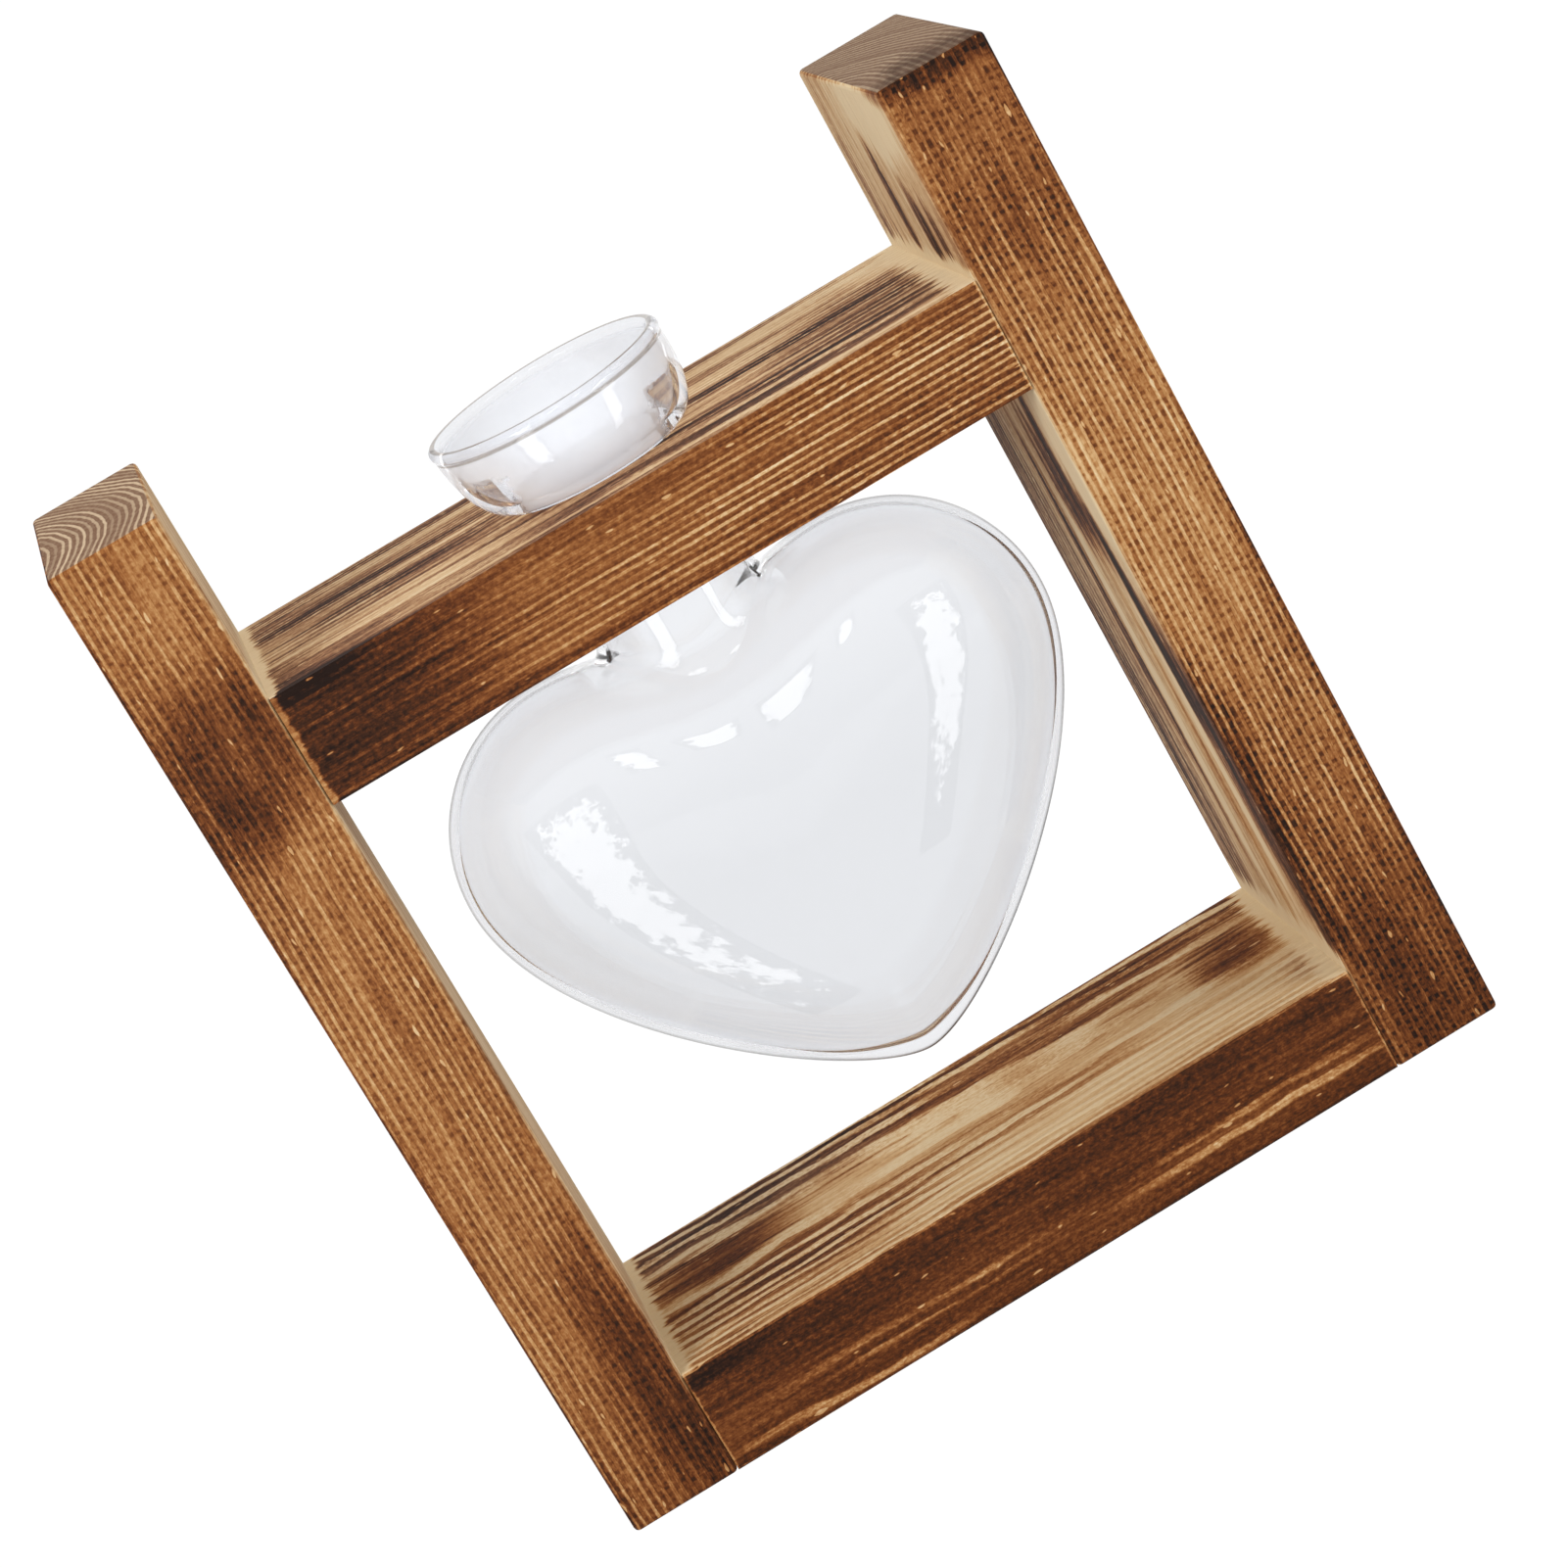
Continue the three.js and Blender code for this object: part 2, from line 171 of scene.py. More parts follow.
class NodeSketch:
    """Writes the nodes of one material or world, a value at a time."""

    def __init__(self, name: str, shader: str = "ShaderNodeBsdfPrincipled", world: bool = False) -> None:
        """Starts with a shader and the output that shows it.

        Args:
            name: The material's or world's name.
            shader: Blender's name of the shader's node type.
            world: Whether it is a world.
        """
        self.owner = (bpy.data.worlds if world else bpy.data.materials).new(name)
        self.owner.use_nodes = True
        self.tree = self.owner.node_tree
        self.tree.nodes.clear()
        self.shader = self.tree.nodes.new(shader)
        output = self.tree.nodes.new("ShaderNodeOutputWorld" if world else "ShaderNodeOutputMaterial")
        self.tree.links.new(self.shader.outputs[0], output.inputs["Surface"])

    @cached_property
    def millimetres(self) -> Flow:
        """The place on the piece, in millimetres."""
        inputs = {0: self.coordinates("Object"), "Scale": 1 / MM}
        return self.node("ShaderNodeVectorMath", inputs, operation="SCALE")

    @cached_property
    def place(self) -> dict[str, Flow]:
        """The place on the piece, in millimetres, by the names x, y and z."""
        return self.parts(self.millimetres)

    @cached_property
    def faces(self) -> dict[Face, Flow]:
        """How far the surface looks each way.

        Returns:
            The squares of the parts of its normal, which add up to 1.
        """
        normal = self.parts(self.coordinates("Normal"))
        looks = {face: (normal[face.value[0]] * face.value[1]).at_least(0.0) for face in Face}
        return {face: look * look for face, look in looks.items()}

    def fill(self, node: bpy.types.Node, inputs: Inputs) -> None:
        """Links a node's inputs to other nodes, or sets their values.

        Args:
            node: The node.
            inputs: What goes in, by the sockets' names or numbers.
        """
        for key, value in inputs.items():
            if isinstance(value, Flow):
                self.tree.links.new(value.socket, node.inputs[key])
            else:
                node.inputs[key].default_value = value

    def node(self, kind: str, inputs: Inputs, output: str | int = 0, **settings: object) -> Flow:
        """A new node.

        Args:
            kind: Blender's name of the node type.
            inputs: What goes in, by the sockets' names or numbers.
            output: The name or number of the socket that is wanted.
            **settings: Properties to set on it.

        Returns:
            What comes out.
        """
        node = self.tree.nodes.new(kind)
        for key, setting in settings.items():
            setattr(node, key, setting)
        self.fill(node, inputs)
        return Flow(self, node.outputs[output])

    def finish(self, inputs: Inputs) -> bpy.types.ID:
        """Fills the shader, and gives back the material or world that is now complete."""
        self.fill(self.shader, inputs)
        return self.owner

    def coordinates(self, key: str) -> Flow:
        """Where a point lies, or which way its surface looks, as the key names it."""
        return self.node("ShaderNodeTexCoord", {}, key)

    def attribute(self, name: str) -> Flow:
        """A value that the mesh holds at its corners."""
        return self.node("ShaderNodeAttribute", {}, "Fac", attribute_name=name)

    def math(self, operation: str, *values: Value) -> Flow:
        """The result of a Math node."""
        return self.node("ShaderNodeMath", dict(enumerate(values)), operation=operation)

    def steer(self, operation: str, *vectors: Flow | Point) -> Flow:
        """The result of a Vector Math node."""
        return self.node("ShaderNodeVectorMath", dict(enumerate(vectors)), operation=operation)

    def length(self, vector: Flow) -> Flow:
        """The length of a vector."""
        return self.node("ShaderNodeVectorMath", {0: vector}, "Value", operation="LENGTH")

    def vector(self, x: Value, y: Value, z: Value) -> Flow:
        """A vector of three values."""
        return self.node("ShaderNodeCombineXYZ", {0: x, 1: y, 2: z})

    def parts(self, vector: Flow) -> dict[str, Flow]:
        """The three parts of a vector, by the names x, y and z."""
        return {key: self.node("ShaderNodeSeparateXYZ", {0: vector}, key.upper()) for key in "xyz"}

    def noise(self, vector: Flow, detail: float = 2.0, roughness: float = 0.5, scale: float = 1.0) -> Flow:
        """Soft noise.

        Args:
            vector: The place.
            detail: How many finer layers it has.
            roughness: How strong those are.
            scale: How many blotches there are to each unit of the place.

        Returns:
            A value about 0.5.
        """
        inputs = {"Vector": vector, "Scale": scale, "Detail": detail, "Roughness": roughness}
        return self.node("ShaderNodeTexNoise", inputs)

    def bump(self, height: Flow, strength: float, distance: float) -> Flow:
        """The way that a surface looks, once it has a relief of so much strength and depth."""
        return self.node("ShaderNodeBump", {"Height": height, "Strength": strength, "Distance": distance})

    def mix(self, share: Value, first: Colour | Flow, second: Colour | Flow) -> Flow:
        """A mix of two colours, by the share of the second; the numbers are the node's colour sockets."""
        return self.node("ShaderNodeMix", {0: share, 6: first, 7: second}, 2, data_type="RGBA")

    def ramp(self, value: Flow, stops: Ramp) -> Flow:
        """A run of colours.

        Args:
            value: Where to read it, from 0 to the place of the last colour.
            stops: The places and colours, in order.

        Returns:
            The colour.
        """
        length = stops[-1][0]
        colour = self.node("ShaderNodeValToRGB", {0: value * (1 / length)})
        elements = colour.socket.node.color_ramp.elements
        while len(elements) < len(stops):
            elements.new(1.0)
        for element, (at, tint) in zip(elements, stops):
            element.position = at / length
            element.color = tint
        return colour


@dataclass(frozen=True)
class Patch:
    """A soft-edged place on a board, in millimetres, where something differs from its surroundings."""

    centre: Point
    reach: Point
    strength: float
    effect: Effect = Effect.BURN


@dataclass(frozen=True)
class PaleEnd:
    """Wood beside a joint, that the flame did not reach, with ragged tips along the grain."""

    at: float
    face: Face
    reach: float
    bareness: float = 1.0


@dataclass(frozen=True)
class EdgeWear:
    """An edge between two faces that is burnt more, or rubbed pale, than the faces beside it."""

    first: Face
    second: Face
    amount: float


@dataclass(frozen=True)
class Scorch:
    """How one face of a board was torched and brushed."""

    burn: float = 0.9
    smoke: float = 0.0
    lines: float = 0.45
    dots: float = 0.12
    streaks: float = 0.15


@dataclass(frozen=True)
class Fibres:
    """The values that draw the grain at a point of a board."""

    along: Flow
    ridge: Flow
    dot: Flow
    fine: Flow
    broad: Flow
    fleck: Flow
    flame: Flow
    chip: Flow


@dataclass(frozen=True)
class TorchedPine:
    """Pine that was scorched by a torch and brushed: burnt early wood between paler ridges of late wood."""

    grain: Grain
    pith: Point
    scorches: dict[Face, Scorch]
    patches: tuple[Patch, ...] = ()
    pale_ends: tuple[PaleEnd, ...] = ()
    edges: tuple[EdgeWear, ...] = ()
    ring_pitch: float = 1.35
    ridge_share: float = 0.4
    ridge_end: float = 0.9
    ring_change: float = 3.7
    sway: float = 2.0
    waver: float = 0.25
    tilt: float = 0.0
    relief: float = 0.25 * MM
    patch_edge: Span = (0.35, 1.15)
    seed: float = 0.0
    bare_to_char: Ramp = (
        (0.00, srgb(224, 200, 160)),
        (0.22, srgb(208, 170, 122)),
        (0.45, srgb(184, 135, 84)),
        (0.70, srgb(153, 98, 53)),
        (0.95, srgb(123, 71, 35)),
        (1.25, srgb(93, 49, 23)),
        (1.60, srgb(62, 35, 20)),
        (2.10, srgb(32, 20, 15)),
    )
    bare_to_smoked: Ramp = (
        (0.00, srgb(226, 206, 172)),
        (0.30, srgb(204, 176, 140)),
        (0.60, srgb(162, 128, 98)),
        (0.95, srgb(118, 87, 68)),
        (1.35, srgb(82, 60, 50)),
        (1.90, srgb(48, 36, 33)),
    )
    soot: Colour = srgb(56, 31, 16)
    end_pale: Colour = srgb(212, 186, 154)
    end_dark: Colour = srgb(108, 72, 50)

    def fibres(self, sketch: NodeSketch) -> Fibres:
        """Rings and fibres round the pith of the tree that the board was sawn from.

        Args:
            sketch: The material.

        Returns:
            The values that draw the grain.
        """
        order = self.grain.value
        along, across, through = (sketch.place[key] for key in order)
        middle = dict(zip("xyz", self.pith))

        def cloud(layer: Layer) -> Flow:
            """A layer of noise.

            Args:
                layer: Which one.

            Returns:
                The noise, stretched along the fibres.
            """
            lengthwise, crosswise, shift, detail, roughness = layer.value
            offset = self.seed + shift
            scaled = (along * lengthwise, across * crosswise, through * crosswise)
            return sketch.noise(sketch.vector(*(part + offset for part in scaled)), detail, roughness)

        sway = (cloud(Layer.SWAY) - 0.5) * (2 * self.sway)
        waver = (cloud(Layer.WAVER) - 0.5) * (2 * self.waver)
        side = across - middle[order[1]] + sway
        depth = along * self.tilt + (through - middle[order[2]])
        radius = sketch.math("SQRT", side * side + depth * depth)
        rings = (radius + waver) / self.ring_pitch
        phase = sketch.math("FRACT", rings)
        rising, falling = (phase.ease(*span) for span in self.ridge_sides())
        pulse = rising * (1 - falling)
        number = sketch.math("FLOOR", rings) * self.ring_change
        boldness = sketch.noise(sketch.vector(number, along * 0.03, self.seed))
        pores = sketch.noise(sketch.vector(number, along * 1.1, self.seed + 5), detail=0.0)
        return Fibres(
            along=along,
            ridge=pulse * (boldness.ease(0.28, 0.62) * 0.8 + 0.2),
            dot=pores.ease(0.48, 0.66) * (1 - pulse),
            fine=cloud(Layer.FINE),
            broad=cloud(Layer.BROAD),
            fleck=cloud(Layer.FLECK),
            flame=cloud(Layer.FLAME),
            chip=cloud(Layer.CHIP).ease(0.77, 0.82),
        )

    def ridge_sides(self) -> tuple[Span, Span]:
        """Where in a ring its ridge rises and where it falls, as shares of the ring's width."""
        start = self.ridge_end - self.ridge_share
        return (start - 0.1, start + 0.1), (self.ridge_end - 0.04, self.ridge_end + 0.08)

    def over_faces(self, sketch: NodeSketch, key: str) -> Flow:
        """One number of the scorches, by its name, as each face has it."""
        marks = (sketch.faces[face] * getattr(scorch, key) for face, scorch in self.scorches.items())
        return reduce(operator.add, marks)

    def patched(self, sketch: NodeSketch, fibres: Fibres, effect: Effect) -> Flow:
        """One number of the scorches, with the patches that change it.

        Args:
            sketch: The material.
            fibres: The grain, which frays the edges of the patches.
            effect: The number.

        Returns:
            The value.
        """
        total = self.over_faces(sketch, effect.value)
        fray = fibres.flame * 1.3 + fibres.broad * 0.6 - 0.95
        for patch in (entry for entry in self.patches if entry.effect is effect):
            offset = sketch.steer("SUBTRACT", sketch.millimetres, patch.centre)
            distance = sketch.length(sketch.steer("DIVIDE", offset, patch.reach)) + fray
            total = total + (1 - distance.ease(*self.patch_edge)) * patch.strength
        return total

    def burn(self, sketch: NodeSketch, fibres: Fibres) -> Flow:
        """How deeply the wood is burnt: 0 is bare, 0.4 tanned, 0.9 brown all over and 2 charred.

        Args:
            sketch: The material.
            fibres: The grain.

        Returns:
            The burn.
        """
        faces = sketch.faces
        swing = fibres.broad.ease(0.33, 0.67) * 2.0 - 1.0
        drift = swing * self.over_faces(sketch, "streaks") + 1.0
        level = self.patched(sketch, fibres, Effect.BURN).at_least(0.0) * drift
        for edge in self.edges:
            on_edge = faces[edge.first] * faces[edge.second] * 4.0
            level = level + on_edge * fibres.broad.ease(0.3, 0.55) * edge.amount
        for end in self.pale_ends:
            tips = (fibres.flame * 3.0 - 0.5) * end.reach
            beyond = abs(fibres.along - end.at) - tips
            bare = 1 - beyond.ease(-0.3 * end.reach, 0.5 * end.reach)
            level = level * (1 - bare * faces[end.face] * end.bareness)
        return level

    def side_grain(self, sketch: NodeSketch, fibres: Fibres, burn: Flow) -> Flow:
        """The colour along the fibres: burnt as deeply as given, less on the ridges, dotted and flecked.

        Args:
            sketch: The material.
            fibres: The grain.
            burn: How deeply the wood is burnt.

        Returns:
            The colour.
        """
        lines = self.patched(sketch, fibres, Effect.LINES)
        smoke = self.patched(sketch, fibres, Effect.SMOKE)
        spared = sketch.math("MINIMUM", lines.at_least(0.0) * fibres.ridge, 0.9)
        dots = fibres.dot * burn * self.over_faces(sketch, "dots")
        grit = (fibres.fleck - 0.5) * (burn * 1.2 + 0.1)
        thread = (fibres.fine - 0.5) * (burn * 0.6 + 0.25)
        depth = (burn * (1 - spared) + dots + grit + thread) * (1 - fibres.chip * 0.7)
        brown = sketch.ramp(depth, self.bare_to_char)
        return sketch.mix(smoke, brown, sketch.ramp(depth, self.bare_to_smoked))

    def end_grain(self, sketch: NodeSketch, fibres: Fibres, burn: Flow) -> Flow:
        """The colour of a sawn end: pale rings in brown wood, smoked where the burn is deep.

        Args:
            sketch: The material.
            fibres: The grain.
            burn: How deeply the wood is burnt.

        Returns:
            The colour.
        """
        ring = fibres.ridge * 0.8 + fibres.fleck * 0.7 - 0.22
        colour = sketch.mix(ring, self.end_dark, self.end_pale)
        return sketch.mix(burn.ease(0.95, 1.9) * 0.75, colour, self.soot)

    def material(self, name: str) -> bpy.types.Material:
        """The finished material.

        Args:
            name: Its name.

        Returns:
            The material.
        """
        sketch = NodeSketch(name)
        fibres = self.fibres(sketch)
        burn = self.burn(sketch, fibres)
        lengthwise = self.grain.value[0]
        first, last = (share for face, share in sketch.faces.items() if face.value[0] == lengthwise)
        side = self.side_grain(sketch, fibres, burn)
        end = self.end_grain(sketch, fibres, burn)
        relief = fibres.ridge * 0.6 + fibres.fine * 0.35 + fibres.fleck * 0.6
        return sketch.finish({
            "Base Color": sketch.mix((first + last).ease(0.5, 0.8), side, end),
            "Roughness": fibres.fine * 0.2 + 0.62,
            "Specular IOR Level": 0.1,
            "Normal": sketch.bump(relief, strength=0.6, distance=self.relief),
        })


@dataclass(frozen=True)
class DowelWood:
    """Plain pale hardwood of the dowels in the joints."""

    pale: Colour = srgb(222, 196, 156)
    dark: Colour = srgb(190, 156, 112)

    def material(self, name: str) -> bpy.types.Material:
        """The finished material.

        Args:
            name: Its name.

        Returns:
            The material.
        """
        sketch = NodeSketch(name)
        x, y, z = sketch.place.values()
        fibre = sketch.noise(sketch.vector(x * 0.08, y, z), detail=3.0)
        colour = sketch.mix(fibre, self.pale, self.dark)
        return sketch.finish({"Base Color": colour, "Roughness": fibre * 0.2 + 0.5})


@dataclass(frozen=True)
class ClearGlass:
    """Blown clear glass, with the faint ripples of hand work."""

    # painted light: the glass is tinted lighter from 114 to 134 mm high than lower in the heart or at the
    # collar
    painted_light_tints: Ramp = (
        (88.0, srgb(240, 241, 243)),
        (114.0, srgb(248, 249, 251)),
        (134.0, srgb(248, 249, 251)),
        (150.0, srgb(243, 244, 247)),
    )
    veil_tint: Colour = srgb(242, 244, 248)
    # painted shade: the colour of the dark lines along the lip
    lip_shade_tint: Colour = srgb(158, 148, 138)
    # painted shade: a grey band and a dark outline where the heart turns edge on
    edge_shade_tint: Colour = srgb(238, 239, 242)
    outline_shade_tint: Colour = srgb(150, 147, 144)
    ripple: float = 0.05 * MM
    clearness: float = 0.97
    bend: float = 1.05
    coat_bend: float = 1.45
    seat: float = 154.3
    veil: float = 0.42
    lip_veil: float = 0.12
    lip_height: float = 13.3
    rim_height: float = 15.5
    rim_tilt: float = 0.03
    window_side: float = 13.0
    window_shift: float = -1.2
    window_height: float = 8.5
    window_fray: float = 3.0
    window_edge: float = 0.4
    below_neck: Span = (-40.3, -34.3)
    beside_neck: Span = (18.0, 24.0)
    edge_facing: Span = (0.45, 0.6)
    outline_facing: Span = (0.74, 0.9)

    def veil_share(self, sketch: NodeSketch, rise: Flow) -> Flow:
        """How far the glass is veiled with white: the collar is, but for a window low on either side.

        Args:
            sketch: The material.
            rise: The height above the collar's seat.

        Returns:
            The veiled share.
        """
        fray = (sketch.noise(sketch.millimetres, scale=0.35) - 0.5) * (2 * self.window_fray)
        aside = abs(sketch.place["x"] - self.window_shift)
        side, top, edge = self.window_side, self.window_height, self.window_edge
        beside = (aside + fray).ease(side - edge, side + edge)
        below = 1 - (rise + fray).ease(top - edge, top + edge)
        lip = rise.ease(self.lip_height - 0.8, self.lip_height + 0.8)
        strength = lip * (self.lip_veil - self.veil) + self.veil
        return rise.ease(-1.0, 0.5) * (1 - beside * below) * strength

    def painted_lip_shade(self, sketch: NodeSketch, rise: Flow) -> Flow:
        """Painted shade: a dark line under the front of the lip and one along its crest, where the bead is
        seen edge on.

        Args:
            sketch: The material.
            rise: The height above the collar's seat.

        Returns:
            1 on the painted shade lines and 0 elsewhere.
        """
        under = 1 - abs(rise - self.lip_height).ease(0.1, 0.3)
        front = 1 - sketch.place["y"].ease(-4.0, 4.0)
        crest = rise.ease(self.rim_height - 0.1, self.rim_height - 0.03)
        return (under * front).at_least(crest)

    def painted_edge_shades(self, sketch: NodeSketch, rise: Flow) -> tuple[Flow, Flow]:
        """Painted shade where the heart is seen nearly edge on: a grey band, and a dark outline where it is
        nearer still to edge on.

        Args:
            sketch: The material.
            rise: The height above the collar's seat.

        Returns:
            The shares of the painted band at the edge and of the painted outline.
        """
        facing = sketch.node("ShaderNodeLayerWeight", {}, "Facing")
        below = 1 - rise.ease(*self.below_neck)
        heart = below.at_least(abs(sketch.place["x"]).ease(*self.beside_neck))
        return heart * facing.ease(*self.edge_facing), heart * facing.ease(*self.outline_facing)

    def material(self, name: str) -> bpy.types.Material:
        """The finished material.

        Args:
            name: Its name.

        Returns:
            The material.
        """
        sketch = NodeSketch(name)
        rise = sketch.place["z"] - self.seat - sketch.place["x"] * self.rim_tilt
        veil = self.veil_share(sketch, rise)
        edge, outline = self.painted_edge_shades(sketch, rise)
        outside = sketch.attribute("outside")
        layers = (
            (veil * (1 / self.veil), self.veil_tint),
            # painted shade lines along the lip
            (self.painted_lip_shade(sketch, rise), self.lip_shade_tint),
            # painted shade at the heart's silhouette, on its outer skin
            (edge * outside, self.edge_shade_tint),
            (outline * outside, self.outline_shade_tint),
        )
        # painted light: the glass's tint by height
        colour = sketch.ramp(sketch.place["z"], self.painted_light_tints)
        for share, tint in layers:
            colour = sketch.mix(share, colour, tint)
        waves = sketch.noise(sketch.millimetres, detail=1.0, scale=0.09)
        return sketch.finish({
            "Base Color": colour,
            "Roughness": waves * 0.02,
            "IOR": self.bend,
            "Transmission Weight": self.clearness - veil,
            "Coat Weight": 1 - edge,
            "Coat Roughness": 0.0,
            "Coat IOR": self.coat_bend,
            "Normal": sketch.bump(waves, strength=1.0, distance=self.ripple),
        })


def piece_from(shape: bmesh.types.BMesh, name: str, material: bpy.types.Material) -> bpy.types.Object:
    """Makes an object of a finished bmesh.

    Args:
        shape: The bmesh, which is freed.
        name: The object's name.
        material: Its finish.

    Returns:
        The object, at the origin, in the scene.
    """
    mesh = bpy.data.meshes.new(name)
    shape.to_mesh(mesh)
    shape.free()
    mesh.materials.append(material)
    piece = bpy.data.objects.new(name, mesh)
    bpy.context.scene.collection.objects.link(piece)
    return piece


@dataclass
class Board:
    """One board of the frame, modelled over its solid's box."""

    node: str
    finish: TorchedPine
    ease: float = 0.9 * MM
    ease_segments: int = 3
    glue_line: float = 0.2 * MM

    def corners(self) -> tuple[Vector, Vector]:
        """The board's box; a rail reaches on through the film of glue to its posts.

        Returns:
            The low and the high corner.
        """
        low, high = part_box(self.node)
        if self.finish.grain is Grain.ALONG_X:
            low.x -= self.glue_line
            high.x += self.glue_line
        return low, high

    def blank(self) -> bmesh.types.BMesh:
        """The board before its edges are eased.

        Returns:
            The bmesh.
        """
        low, high = self.corners()
        shape = bmesh.new()
        bmesh.ops.create_cube(shape, size=1.0)
        bmesh.ops.scale(shape, vec=high - low, verts=shape.verts)
        bmesh.ops.translate(shape, vec=(low + high) / 2, verts=shape.verts)
        return shape

    def eased_edges(self, shape: bmesh.types.BMesh) -> list[bmesh.types.BMEdge]:
        """The edges that are sanded round: all on a post, the long ones on a rail.

        Args:
            shape: The board.

        Returns:
            The edges.
        """
        if self.finish.grain is Grain.ALONG_Z:
            return list(shape.edges)

        def lengthwise(edge: bmesh.types.BMEdge) -> bool:
            """Whether an edge runs along the rail."""
            first, last = edge.verts
            return abs((first.co - last.co).normalized().x) > 0.99

        return [edge for edge in shape.edges if lengthwise(edge)]

    def build(self) -> bpy.types.Object:
        """Models the board and puts it on the frame.

        Returns:
            The piece.
        """
        shape = self.blank()
        bmesh.ops.bevel(
            shape,
            geom=self.eased_edges(shape),
            offset=self.ease,
            segments=self.ease_segments,
            profile=0.5,
            affect="EDGES",
            material=-1,
        )
        bmesh.ops.recalc_face_normals(shape, faces=shape.faces)
        piece = piece_from(shape, f"{self.node}_board", self.finish.material(f"torched_{self.node}"))
        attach(piece, "frame")
        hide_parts(self.node)
        return piece


@dataclass
class SlottedRail(Board):
    """The top rail, with a slot that is open at the back and round at the neck of the vase."""

    slot_radius: float = 15.8 * MM
    arc_steps: int = 48

    def blank(self) -> bmesh.types.BMesh:
        """The board in plan, with its slot, drawn up to its thickness.

        Returns:
            The bmesh.
        """
        low, high = self.corners()
        shape = bmesh.new()
        start = shape.verts.new((self.slot_radius, 0.0, low.z))
        bmesh.ops.spin(
            shape,
            geom=[start],
            cent=(0.0, 0.0, low.z),
            axis=UP,
            angle=-math.pi,
            steps=self.arc_steps,
            use_merge=False,
        )
        shape.verts.ensure_lookup_table()
        ends = [vert for vert in shape.verts if len(vert.link_edges) == 1]
        left = min(ends, key=lambda vert: vert.co.x)
        right = max(ends, key=lambda vert: vert.co.x)
        corners = (
            (left.co.x, high.y),
            (low.x, high.y),
            (low.x, low.y),
            (high.x, low.y),
            (high.x, high.y),
            (right.co.x, high.y),
        )
        previous = left
        for x, y in corners:
            corner = shape.verts.new((x, y, low.z))
            shape.edges.new((previous, corner))
            previous = corner
        shape.edges.new((previous, right))
        plan = bmesh.ops.contextual_create(shape, geom=list(shape.edges))["faces"]
        raised = bmesh.ops.extrude_face_region(shape, geom=plan)["geom"]
        top = [entry for entry in raised if isinstance(entry, bmesh.types.BMVert)]
        bmesh.ops.translate(shape, vec=(0.0, 0.0, high.z - low.z), verts=top)
        bmesh.ops.recalc_face_normals(shape, faces=shape.faces)
        return shape

    def eased_edges(self, shape: bmesh.types.BMesh) -> list[bmesh.types.BMEdge]:
        """Every edge round the top and bottom faces, apart from those at the two ends of the rail.

        Args:
            shape: The board.

        Returns:
            The edges.
        """
        low, high = self.corners()
        inside = self.glue_line
        picked = []
        for edge in shape.edges:
            level = abs(edge.verts[0].co.z - edge.verts[1].co.z) < inside
            at_end = all(min(vert.co.x - low.x, high.x - vert.co.x) < inside for vert in edge.verts)
            if level and not at_end:
                picked.append(edge)
        return picked


@dataclass(frozen=True)
class Skin:
    """The outer or inner face of the heart's glass, as distances from the middle of its belly."""

    reach: Callable[[float], float]
    half_thickness: float
    throat: float
    outside: float


